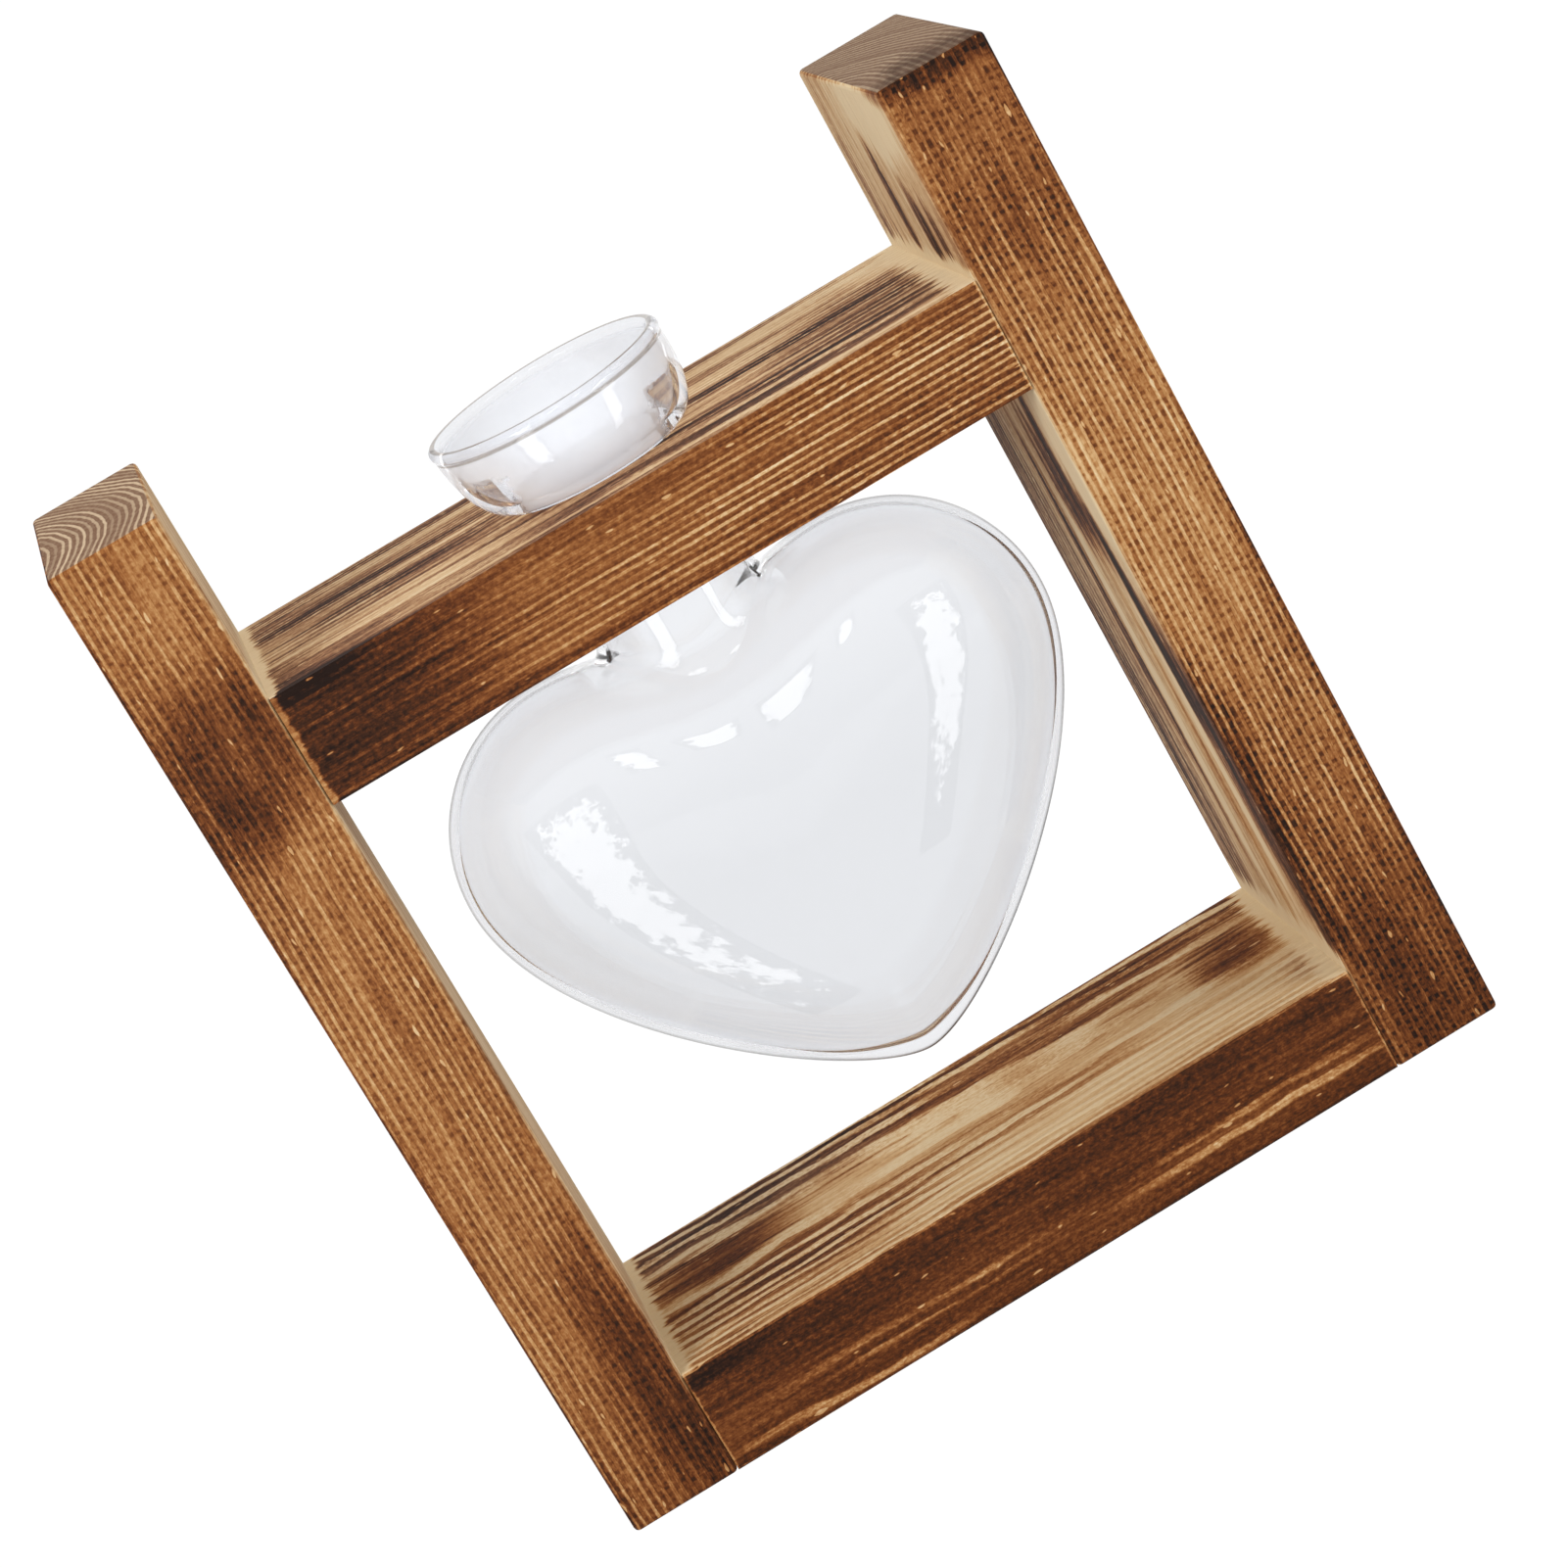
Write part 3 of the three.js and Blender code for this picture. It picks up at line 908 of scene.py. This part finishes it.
@dataclass
class HeartVase:
    """The blown glass: a hollow heart, a neck, and a bowl of a collar with a beaded lip."""

    finish: ClearGlass
    node: str = "heart_vase"
    width: float = 111 * MM
    height: float = 89 * MM
    shoulder_height: float = 61.2 * MM
    belly_height: float = 53 * MM
    thickness: float = 54 * MM
    lobe_spread: float = 56 * MM
    cleft_depth: float = 4 * MM
    tip_bluntness: float = 0.235
    flank_fullness: float = 0.43
    lobe_fullness: float = 0.556
    cleft_ease: float = 0.38
    cleft_floor: float = 0.3
    puff: float = 2.2
    wall: float = 1.6 * MM
    tip_wall: float = 3 * MM
    tip_spread: float = math.radians(12)
    neck_radius: float = 15 * MM
    neck_blend: float = 5 * MM
    neck_length: float = 20.3 * MM
    seat_ledge: float = 4.2 * MM
    seat_land: float = 1.7 * MM
    seat_fillet: float = 0.6 * MM
    collar_height: float = 15.5 * MM
    foot_corner: float = 2 * MM
    bowl_shoulder: float = 5.5 * MM
    rim_flare: float = 2.6 * MM
    lip_radius: float = 1.1 * MM
    collar_lean: float = -0.09
    rim_tilt: float = 0.03
    meridians: int = 180
    parallels: int = 180
    edge_crowding: float = 0.4
    outline_steps: int = 120
    curve_steps: int = 10

    def __post_init__(self) -> None:
        """Finds the tip and the seat of the collar in the frame, and measures the outline."""
        low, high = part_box(self.node)
        self.belly = Vector((0.0, 0.0, low.z + self.belly_height))
        self.seat = high.z - self.collar_height
        self.samples = [self.polar(point) for point in self.outline()]
        self.angles = [angle for angle, _ in self.samples]

    def outline(self) -> list[Vector]:
        """Right half of the heart from its tip, over the lobe, to the cleft.

        Returns:
            Its points, with heights above the tip.
        """
        half = self.width / 2
        lobe = self.lobe_spread / 2
        rise = self.height - self.shoulder_height
        cleft = self.height - self.cleft_depth
        curves = (
            ((0, 0), (self.tip_bluntness * half, 0),
             (half, (1 - self.flank_fullness) * self.shoulder_height), (half, self.shoulder_height)),
            ((half, self.shoulder_height), (half, self.shoulder_height + self.lobe_fullness * rise),
             (lobe + self.lobe_fullness * (half - lobe), self.height), (lobe, self.height)),
            ((lobe, self.height), ((1 - self.cleft_ease) * lobe, self.height),
             (self.cleft_floor * lobe, cleft), (0, cleft)),
        )
        points: list[Vector] = []
        for curve in curves:
            knots = [Vector((x, 0.0, z)) for x, z in curve]
            points += geometry.interpolate_bezier(*knots, self.outline_steps)
        return points

    def polar(self, point: Vector) -> tuple[float, float]:
        """A point of the outline as angle and distance from the belly."""
        rise = point.z - self.belly_height
        return math.atan2(rise, point.x), math.hypot(point.x, rise)

    def outer_reach(self, angle: float) -> float:
        """Distance from the belly to the outline.

        Args:
            angle: From straight down to straight up, in radians.

        Returns:
            The distance.
        """
        after = min(max(bisect_right(self.angles, angle), 1), len(self.samples) - 1)
        (low, near), (high, far) = self.samples[after - 1], self.samples[after]
        share = (angle - low) / (high - low) if high > low else 0.0
        return near + (far - near) * min(max(share, 0.0), 1.0)

    def inner_reach(self, angle: float) -> float:
        """Distance from the belly to the inside of the glass, which is thicker near the tip.

        Args:
            angle: From straight down to straight up, in radians.

        Returns:
            The distance.
        """
        step = math.radians(2)
        reach = self.outer_reach(angle)
        slope = (self.outer_reach(angle + step) - self.outer_reach(angle - step)) / (2 * step * reach)
        from_tip = (angle + math.pi / 2) / self.tip_spread
        wall = self.wall + (self.tip_wall - self.wall) * math.exp(-from_tip * from_tip)
        return reach - wall * math.hypot(1, slope)

    def skin_point(self, skin: Skin, direction: Vector) -> Vector:
        """Where a ray from the belly meets a skin: the puffed heart, or the neck where that lies further out.

        Args:
            skin: The skin.
            direction: The ray's unit direction.

        Returns:
            The point.
        """
        across, through, up = direction
        outline = math.hypot(across, up) / skin.reach(math.atan2(up, abs(across)))
        bulge = abs(through) / skin.half_thickness
        heart = (outline ** self.puff + bulge ** self.puff) ** (-1 / self.puff)
        level = math.hypot(across, through)
        neck = skin.throat / level if up > 0 else 0.0
        near = max(self.neck_blend - abs(heart - neck), 0.0)
        return self.belly + direction * (max(heart, neck) + near * near / (4 * self.neck_blend))

    def add_skin(self, shape: bmesh.types.BMesh, skin: Skin) -> list[bmesh.types.BMEdge]:
        """Adds one skin of the heart, from its tip to the foot of the neck.

        Args:
            shape: The bmesh to add to.
            skin: The skin.

        Returns:
            The edges of the hole at its top.
        """
        foot = math.sin(math.atan2(self.seat - self.neck_length - self.belly.z, skin.throat))
        ball = bmesh.ops.create_uvsphere(
            shape, u_segments=self.meridians, v_segments=self.parallels, radius=1.0
        )["verts"]
        bmesh.ops.delete(shape, geom=[vert for vert in ball if vert.co.z > foot], context="VERTS")
        kept = [vert for vert in ball if vert.is_valid]
        outside = shape.verts.layers.float["outside"]
        for vert in kept:
            toward_neck = min(max(vert.co.z / foot, 0.0), 1.0) ** 4
            flatness = self.edge_crowding + (1 - self.edge_crowding) * toward_neck
            crowded = Vector((vert.co.x, vert.co.y * flatness, vert.co.z))
            vert.co = self.skin_point(skin, crowded.normalized())
            vert[outside] = skin.outside
        edges = {edge for vert in kept for edge in vert.link_edges}
        return [edge for edge in edges if edge.is_boundary]

    def collar_profile(self) -> list[tuple[float, float]]:
        """Neck and collar in section, from the neck's foot over the lip to the inside.

        Returns:
            The radius and the height above the seat of each point.
        """
        lip, wall = self.lip_radius, self.wall
        neck, fillet, corner = self.neck_radius, self.seat_fillet, self.foot_corner
        land = neck + self.seat_land
        collar = neck + self.seat_ledge
        lip_x = collar + self.rim_flare - lip
        lip_z = self.collar_height - lip
        side = lip_x + wall / 2
        foot = collar - corner * (side - collar) / (self.bowl_shoulder - corner)
        bore = neck - wall
        points: list[tuple[float, float]] = [(neck, -self.neck_length)]

        def curve(*knots: tuple[float, float]) -> None:
            """Adds a curve.

            Args:
                *knots: Its start, the knot that it bends towards, and its end.
            """
            first, bend, last = (Vector((x, 0.0, z)) for x, z in knots)
            steps = geometry.interpolate_bezier(
                first, first.lerp(bend, 2 / 3), last.lerp(bend, 2 / 3), last, self.curve_steps
            )
            points.extend((step.x, step.z) for step in steps)

        curve((neck, -fillet), (neck, 0), (neck + fillet, 0))
        curve((land, 0), (foot, 0), (collar, corner))
        curve((collar, corner), (side, self.bowl_shoulder), (side, lip_z - lip))
        for step in range(3 * self.curve_steps + 1):
            turn = math.radians(-45 + 270 * step / (3 * self.curve_steps))
            points.append((lip_x + lip * math.cos(turn), lip_z + lip * math.sin(turn)))
        inner_corner = (collar - wall, corner + wall)
        curve((side - wall, lip_z - lip), (side - wall, self.bowl_shoulder + wall), inner_corner)
        curve(inner_corner, (foot - wall, wall), (land - wall, wall))
        curve((bore + fillet, wall), (bore, wall), (bore, wall - fillet))
        points.append((bore, -self.neck_length))
        return points

    def add_collar(self, shape: bmesh.types.BMesh) -> list[bmesh.types.BMEdge]:
        """Adds the neck and the collar, turned about the vase's upright axis.

        Args:
            shape: The bmesh to add to.

        Returns:
            The edges of the two holes at the foot of the neck.
        """
        profile = [shape.verts.new((x, 0.0, self.seat + z)) for x, z in self.collar_profile()]
        path = [shape.edges.new(pair) for pair in zip(profile, profile[1:])]
        bmesh.ops.spin(
            shape,
            geom=profile + path,
            cent=(0.0, 0.0, 0.0),
            axis=UP,
            angle=2 * math.pi,
            steps=self.meridians,
            use_merge=True,
        )
        for vert in shape.verts:
            rise = max(vert.co.z - self.seat, 0.0)
            share = rise / self.collar_height
            vert.co += Vector((self.collar_lean * rise, 0.0, self.rim_tilt * vert.co.x * share))
        foot = self.seat - self.neck_length
        turned = [edge for edge in shape.edges if edge.is_boundary]
        return [edge for edge in turned if all(abs(vert.co.z - foot) < 1e-6 for vert in edge.verts)]

    def build(self) -> bpy.types.Object:
        """Models the vase and hangs it on its body.

        Returns:
            The piece.
        """
        half = self.thickness / 2
        outer = Skin(self.outer_reach, half, self.neck_radius, outside=1.0)
        inner = Skin(self.inner_reach, half - self.wall, self.neck_radius - self.wall, outside=0.0)
        shape = bmesh.new()
        shape.verts.layers.float.new("outside")
        rims = self.add_collar(shape)
        middle = self.neck_radius - self.wall / 2
        for skin, beyond in ((outer, True), (inner, False)):
            hole = self.add_skin(shape, skin)
            ring = [edge for edge in rims if (edge.verts[0].co.xy.length > middle) is beyond]
            bmesh.ops.bridge_loops(shape, edges=hole + ring)
        bmesh.ops.remove_doubles(shape, verts=shape.verts, dist=0.001 * MM)
        bmesh.ops.recalc_face_normals(shape, faces=shape.faces)
        for face in shape.faces:
            face.smooth = True
        piece = piece_from(shape, "blown_heart", self.finish.material("clear_glass"))
        piece.visible_shadow = False
        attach(piece, "vase")
        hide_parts(self.node)
        return piece


@dataclass
class Dowels:
    """The eight dowels, whose solids stay as they are."""

    finish: DowelWood

    def dress(self) -> list[bpy.types.Object]:
        """Gives each dowel its wood.

        Returns:
            The dowels.
        """
        wood = self.finish.material("dowel_wood")
        dowels = [piece for name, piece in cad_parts.items() if "_dowel_" in name]
        for dowel in dowels:
            dowel.data.materials.clear()
            dowel.data.materials.append(wood)
        return dowels


@dataclass(frozen=True)
class Lamp:
    """A soft box: a rectangle of light that looks at a point."""

    name: str
    place: Point
    size: tuple[float, float]
    power: float
    aim: Point = HEART_MIDDLE

    def build(self) -> bpy.types.Object:
        """Hangs the lamp in the studio.

        Returns:
            The lamp.
        """
        light = bpy.data.lights.new(self.name, "AREA")
        light.shape = "RECTANGLE"
        light.size, light.size_y = self.size
        light.energy = self.power
        lamp = bpy.data.objects.new(self.name, light)
        lamp.location = self.place
        look = Vector(self.aim) - Vector(self.place)
        lamp.rotation_euler = look.to_track_quat("-Z", "Y").to_euler()
        lamp.visible_glossy = False
        lamp.visible_transmission = False
        bpy.context.scene.collection.objects.link(lamp)
        return lamp


@dataclass(frozen=True)
class GlowCard:
    """A white card, bent along a curve and torn at its edges, that shows only as a highlight on glass."""

    name: str
    spine: tuple[Point, Point, Point, Point]
    spread: float
    taper: float = 0.0
    glow: float = 4.8
    cloud_scale: float = 16.0
    tearing: float = 2.6
    cut: Span = (0.35, 0.7)
    centre: Point = HEART_MIDDLE
    rows: int = 32
    columns: int = 8

    def material(self) -> bpy.types.Material:
        """White light, as strong as the card's own fade says, torn alike in every direction from the glass.

        Returns:
            The material.
        """
        sketch = NodeSketch(self.name, "ShaderNodeEmission")
        outward = sketch.steer("SUBTRACT", sketch.coordinates("Object"), self.centre)
        cloud = sketch.noise(sketch.steer("NORMALIZE", outward), 4.0, 0.65, self.cloud_scale)
        torn = (cloud - 0.5) * self.tearing + sketch.attribute("fade")
        return sketch.finish({"Strength": torn.ease(*self.cut) * self.glow})

    def build(self) -> bpy.types.Object:
        """Bends a grid along the spine, wider where it is further from the glass.

        Returns:
            The card.
        """
        shape = bmesh.new()
        bmesh.ops.create_grid(shape, x_segments=self.columns, y_segments=self.rows, size=1.0)
        fade = shape.verts.layers.float.new("fade")
        spine = geometry.interpolate_bezier(*(Vector(knot) for knot in self.spine), self.rows + 1)
        for vert in shape.verts:
            across, along = vert.co.x, vert.co.y
            row = round((along + 1) / 2 * self.rows)
            ahead = spine[min(row + 1, self.rows)] - spine[max(row - 1, 0)]
            outward = spine[row] - Vector(self.centre)
            side = ahead.cross(outward).normalized()
            vert[fade] = (1 - across ** 2) * (1 - along ** 4)
            width = self.spread * (1 - self.taper * row / self.rows)
            vert.co = spine[row] + side * across * width * outward.length
        card = piece_from(shape, self.name, self.material())
        for ray in ("camera", "diffuse", "transmission", "shadow"):
            setattr(card, f"visible_{ray}", False)
        return card


@dataclass
class Studio:
    """White floor, plain light and the camera."""

    lamps: tuple[Lamp, ...]
    cards: tuple[GlowCard, ...]
    floor_half: float = 12.0
    ambient: float = 0.42
    floor_white: float = 1.05
    floor_paint: Colour = (0.9, 0.9, 0.9, 1.0)
    shadow_share: float = 0.05
    camera_place: Point = (-47.57 * MM, -713.48 * MM, 302.32 * MM)
    camera_aim: Point = (0.70 * MM, 0.0, 89.78 * MM)
    camera_roll: float = math.radians(-29.87)
    lens: float = 101.54
    sensor: float = 36.0

    def seen(self, sketch: NodeSketch) -> Flow:
        """1 for rays that draw the background, straight or by way of glass, and 0 for rays of light.

        Args:
            sketch: The material or world.

        Returns:
            The value that tells the rays apart.
        """
        rays = ("Is Camera Ray", "Is Glossy Ray", "Is Transmission Ray")
        return reduce(Flow.at_least, (sketch.node("ShaderNodeLightPath", {}, ray) for ray in rays))

    def build_floor(self) -> bpy.types.Object:
        """Lays the floor, white to the eye, with a soft shadow under the frame.

        Returns:
            The floor.
        """
        shape = bmesh.new()
        bmesh.ops.create_grid(shape, x_segments=1, y_segments=1, size=self.floor_half)
        sketch = NodeSketch("studio_floor", "ShaderNodeMixShader")
        share = self.seen(sketch) * (1 - self.shadow_share)
        paint = sketch.node("ShaderNodeBsdfDiffuse", {"Color": self.floor_paint})
        white = sketch.node("ShaderNodeEmission", {"Strength": self.floor_white})
        floor = piece_from(shape, "floor", sketch.finish({0: share, 1: paint, 2: white}))
        return floor

    def build_world(self) -> None:
        """Fills the room with even light, white where it is seen."""
        sketch = NodeSketch("studio", "ShaderNodeBackground", world=True)
        level = self.seen(sketch) * (1 - self.ambient) + self.ambient
        bpy.context.scene.world = sketch.finish({"Strength": level})

    def build_camera(self) -> bpy.types.Object:
        """Sets the camera where the photograph was taken from, rolled as it was.

        Returns:
            The camera.
        """
        lens = bpy.data.cameras.new("photo_camera")
        lens.lens = self.lens
        lens.sensor_width = self.sensor
        camera = bpy.data.objects.new("photo_camera", lens)
        look = Vector(self.camera_aim) - Vector(self.camera_place)
        turn = look.to_track_quat("-Z", "Y") @ Quaternion(UP, self.camera_roll)
        camera.matrix_world = Matrix.Translation(self.camera_place) @ turn.to_matrix().to_4x4()
        bpy.context.scene.collection.objects.link(camera)
        bpy.context.scene.camera = camera
        return camera

    def build(self) -> None:
        """Sets the whole studio up."""
        self.build_floor()
        self.build_world()
        for light in self.lamps + self.cards:
            light.build()
        self.build_camera()
        bpy.context.scene.view_settings.view_transform = "Standard"


TORCHED = dict.fromkeys(Face, Scorch())

LEFT_POST = TorchedPine(
    grain=Grain.ALONG_Z,
    pith=(-147.0, -11.0, 0.0),
    scorches=TORCHED | {
        Face.FRONT: Scorch(0.8, dots=0.3),
        Face.RIGHT: Scorch(0.3, smoke=0.6, dots=0.0, streaks=0.7),
    },
    patches=(
        Patch((-73.0, -30.0, 149.0), (17.0, 8.0, 16.0), 0.5),
        Patch((-80.0, -30.0, 137.0), (9.0, 8.0, 8.0), 0.35),
        Patch((-68.0, -30.0, 22.0), (9.0, 8.0, 34.0), 0.45),
        Patch((-75.0, -30.0, 0.0), (18.0, 8.0, 30.0), 0.2),
        Patch((-76.0, -30.0, 184.0), (14.0, 8.0, 18.0), -0.1),
        Patch((-75.0, -30.0, 149.0), (18.0, 8.0, 18.0), -0.25, Effect.LINES),
        Patch((-68.0, -30.0, 20.0), (12.0, 8.0, 34.0), -0.3, Effect.LINES),
    ),
    pale_ends=(PaleEnd(154.0, Face.RIGHT, 4.0), PaleEnd(20.0, Face.RIGHT, 4.0)),
    edges=(EdgeWear(Face.FRONT, Face.LEFT, 0.7), EdgeWear(Face.LEFT, Face.TOP, 0.9)),
    seed=2.0,
)
RIGHT_POST = TorchedPine(
    grain=Grain.ALONG_Z,
    pith=(-1.0, -26.0, 0.0),
    scorches=TORCHED | {
        Face.FRONT: Scorch(0.86, lines=0.55, dots=0.55),
        Face.LEFT: Scorch(0.32, smoke=0.45, lines=0.5, dots=0.0, streaks=0.5),
    },
    patches=(
        Patch((75.0, -30.0, 184.0), (18.0, 8.0, 26.0), -0.35, Effect.LINES),
        Patch((76.0, -30.0, 160.0), (16.0, 8.0, 10.0), 0.2),
        Patch((75.0, -30.0, 106.0), (18.0, 8.0, 42.0), -0.22),
        Patch((76.0, -30.0, 8.0), (18.0, 8.0, 36.0), 0.4),
        Patch((75.0, -30.0, 10.0), (18.0, 8.0, 32.0), -0.3, Effect.LINES),
        Patch((75.0, -30.0, 188.0), (20.0, 22.0, 4.0), 0.8),
        Patch((65.0, 22.0, 80.0), (6.0, 16.0, 120.0), 0.5, Effect.SMOKE),
        Patch((65.0, 24.0, 74.0), (6.0, 16.0, 110.0), 0.75),
        Patch((65.0, 5.5, 84.0), (6.0, 3.5, 60.0), 1.1),
        Patch((65.0, 0.0, 66.0), (6.0, 3.0, 50.0), -0.8),
        Patch((65.0, -7.0, 114.0), (6.0, 6.0, 18.0), 1.1),
        Patch((65.0, -10.0, 48.0), (6.0, 4.0, 26.0), 0.4),
        Patch((65.0, -10.0, 60.0), (6.0, 6.0, 45.0), -0.45, Effect.SMOKE),
        Patch((65.0, -14.5, 118.0), (6.0, 3.5, 24.0), 1.2),
        Patch((65.0, -16.0, 58.0), (6.0, 2.5, 34.0), -0.8),
        Patch((65.0, -20.0, 88.0), (6.0, 3.5, 30.0), 1.4),
        Patch((65.0, -26.0, 54.0), (6.0, 6.5, 38.0), 1.45),
        Patch((65.0, -26.0, 118.0), (6.0, 6.0, 18.0), -0.6),
        Patch((65.0, -12.0, 184.0), (6.0, 20.0, 12.0), -0.6),
        Patch((65.0, 3.0, 164.0), (6.0, 3.5, 14.0), 1.1),
        Patch((65.0, -12.0, 161.0), (6.0, 3.5, 11.0), 1.5),
        Patch((65.0, -20.0, 160.0), (6.0, 3.0, 10.0), 1.0),
    ),
    pale_ends=(PaleEnd(154.0, Face.LEFT, 2.5), PaleEnd(20.0, Face.LEFT, 4.0)),
    edges=(EdgeWear(Face.FRONT, Face.RIGHT, 0.7), EdgeWear(Face.RIGHT, Face.TOP, 0.9)),
    end_pale=srgb(176, 152, 126),
    end_dark=srgb(112, 84, 66),
    seed=17.0,
)
TOP_RAIL = TorchedPine(
    grain=Grain.ALONG_X,
    pith=(0.0, -32.0, 109.0),
    scorches=TORCHED | {
        Face.FRONT: Scorch(0.9, lines=0.5, dots=0.1),
        Face.TOP: Scorch(0.93, smoke=0.65, lines=0.65, dots=0.0, streaks=0.6),
    },
    patches=(
        Patch((-64.0, -30.0, 144.0), (40.0, 9.0, 20.0), 0.75),
        Patch((-64.0, -30.0, 144.0), (46.0, 9.0, 20.0), -0.3, Effect.LINES),
        Patch((-12.0, -30.0, 153.0), (44.0, 6.0, 6.0), -0.3, Effect.LINES),
        Patch((50.0, -30.0, 143.0), (60.0, 6.0, 16.0), 0.3, Effect.LINES),
        Patch((50.0, -30.0, 143.0), (60.0, 6.0, 16.0), 0.2),
        Patch((0.0, -30.0, 133.5), (90.0, 6.0, 3.0), 0.3),
        Patch((-57.0, 22.0, 154.0), (10.0, 2.5, 6.0), 0.8),
        Patch((-44.0, 12.0, 154.0), (26.0, 3.0, 6.0), 0.6),
        Patch((-36.0, 6.5, 154.0), (24.0, 2.0, 6.0), -0.6),
        Patch((-38.0, -1.0, 154.0), (22.0, 4.5, 6.0), 0.9),
        Patch((-38.0, -16.0, 154.0), (20.0, 4.0, 6.0), -0.4),
        Patch((24.0, -17.0, 154.0), (48.0, 6.5, 6.0), 0.5),
        Patch((25.0, -9.3, 154.0), (44.0, 1.4, 6.0), -0.5),
        Patch((40.0, 2.5, 154.0), (25.0, 3.0, 6.0), 0.9),
        Patch((42.0, -5.0, 154.0), (26.0, 3.0, 6.0), 0.35),
        Patch((46.0, 20.0, 154.0), (26.0, 12.0, 6.0), -0.35),
        Patch((62.0, 22.0, 154.0), (10.0, 16.0, 6.0), -0.4),
        Patch((0.0, -26.8, 154.0), (80.0, 1.2, 6.0), -0.6),
        Patch((-58.0, -29.5, 154.0), (12.0, 3.0, 4.0), 0.9),
    ),
    pale_ends=(
        PaleEnd(-65.0, Face.TOP, 1.6),
        PaleEnd(65.0, Face.TOP, 3.5),
        PaleEnd(-65.0, Face.FRONT, 0.9, 0.6),
        PaleEnd(65.0, Face.FRONT, 0.3, 0.6),
    ),
    edges=(EdgeWear(Face.FRONT, Face.TOP, 0.3), EdgeWear(Face.FRONT, Face.BOTTOM, 0.8)),
    tilt=0.01,
    seed=31.0,
)
BOTTOM_RAIL = TorchedPine(
    grain=Grain.ALONG_X,
    pith=(0.0, 7.5, -20.0),
    scorches=TORCHED | {
        Face.FRONT: Scorch(1.2, lines=0.08, dots=0.0),
        Face.TOP: Scorch(0.22, smoke=0.12, lines=1.0, dots=0.0, streaks=0.4),
    },
    patches=(
        Patch((0.0, -30.0, 16.0), (120.0, 8.0, 9.0), 0.25),
        Patch((-22.0, -30.0, 7.0), (32.0, 6.0, 2.2), 0.52, Effect.LINES),
        Patch((42.0, -30.0, 6.5), (36.0, 6.0, 3.8), 0.55, Effect.LINES),
        Patch((-42.0, -30.0, 2.0), (32.0, 6.0, 2.0), 0.52, Effect.LINES),
        Patch((-10.0, 25.0, 20.0), (120.0, 16.0, 6.0), 1.1),
        Patch((-45.0, 22.0, 20.0), (34.0, 12.0, 6.0), 0.5, Effect.SMOKE),
        Patch((-50.0, 7.0, 20.0), (18.0, 8.0, 6.0), 1.0),
        Patch((-50.0, 7.0, 20.0), (18.0, 8.0, 6.0), -0.6, Effect.LINES),
        Patch((18.0, 7.0, 20.0), (36.0, 7.0, 6.0), 0.35),
        Patch((54.0, 4.0, 20.0), (11.0, 12.0, 6.0), 0.85),
        Patch((54.0, 4.0, 20.0), (11.0, 11.0, 6.0), -0.6, Effect.LINES),
        Patch((-46.0, -12.0, 20.0), (46.0, 16.0, 6.0), 0.8),
        Patch((5.0, -8.0, 20.0), (36.0, 8.0, 6.0), 0.4),
        Patch((-60.0, -29.0, 20.0), (16.0, 4.0, 6.0), 0.5),
        Patch((63.0, -18.0, 20.0), (7.0, 11.0, 6.0), 0.3),
        Patch((63.0, -18.0, 20.0), (7.0, 11.0, 6.0), 0.5, Effect.SMOKE),
    ),
    pale_ends=(
        PaleEnd(-65.0, Face.TOP, 1.8),
        PaleEnd(65.0, Face.TOP, 2.8),
        PaleEnd(-65.0, Face.FRONT, 0.3, 0.5),
        PaleEnd(65.0, Face.FRONT, 0.3, 0.5),
    ),
    edges=(EdgeWear(Face.FRONT, Face.BOTTOM, 0.8), EdgeWear(Face.FRONT, Face.TOP, 0.3)),
    ring_pitch=1.7,
    ridge_share=0.45,
    waver=0.7,
    tilt=0.015,
    seed=53.0,
)

LAMPS = (
    Lamp("key_left", (-0.75, -0.85, 0.75), (0.5, 0.7), 9.0),
    Lamp("fill_right", (0.85, -0.7, 0.55), (0.4, 0.7), 4.5),
    Lamp("top", (0.05, 0.1, 1.05), (0.6, 0.6), 3.5),
)

CARDS = (
    GlowCard(
        "left_card",
        ((-0.275, -0.287, 0.284), (-0.28, -0.40, 0.12), (-0.11, -0.12, 0.004), (-0.03, -0.043, 0.004)),
        spread=0.3,
        taper=0.55,
    ),
    GlowCard(
        "right_card",
        ((0.31, -0.267, 0.264), (0.32, -0.32, 0.10), (0.25, -0.33, 0.004), (0.06, -0.1, 0.004)),
        spread=0.2,
        taper=0.6,
    ),
    GlowCard(
        "high_card_left",
        ((-0.05, -0.42, 0.33), (-0.05, -0.41, 0.38), (-0.05, -0.39, 0.44), (-0.05, -0.36, 0.5)),
        spread=0.1,
    ),
    GlowCard(
        "high_card_right",
        ((0.12, -0.40, 0.38), (0.12, -0.39, 0.41), (0.12, -0.38, 0.44), (0.12, -0.36, 0.48)),
        spread=0.08,
    ),
)


def main() -> None:
    """Builds the boards, the glass and the studio."""
    logging.basicConfig(level=logging.INFO, format="%(name)s: %(message)s")
    boards = (
        Board("left_post", LEFT_POST),
        Board("right_post", RIGHT_POST),
        SlottedRail("top_rail", TOP_RAIL),
        Board("bottom_rail", BOTTOM_RAIL),
    )
    for board in boards:
        piece = board.build()
        LOG.info("%s: %d faces", piece.name, len(piece.data.polygons))
    vase = HeartVase(ClearGlass()).build()
    LOG.info("%s: %d faces", vase.name, len(vase.data.polygons))
    for dowel in Dowels(DowelWood()).dress():
        LOG.info("%s: dressed", dowel.name)
    Studio(LAMPS, CARDS).build()


if __name__ == "__main__":
    main()
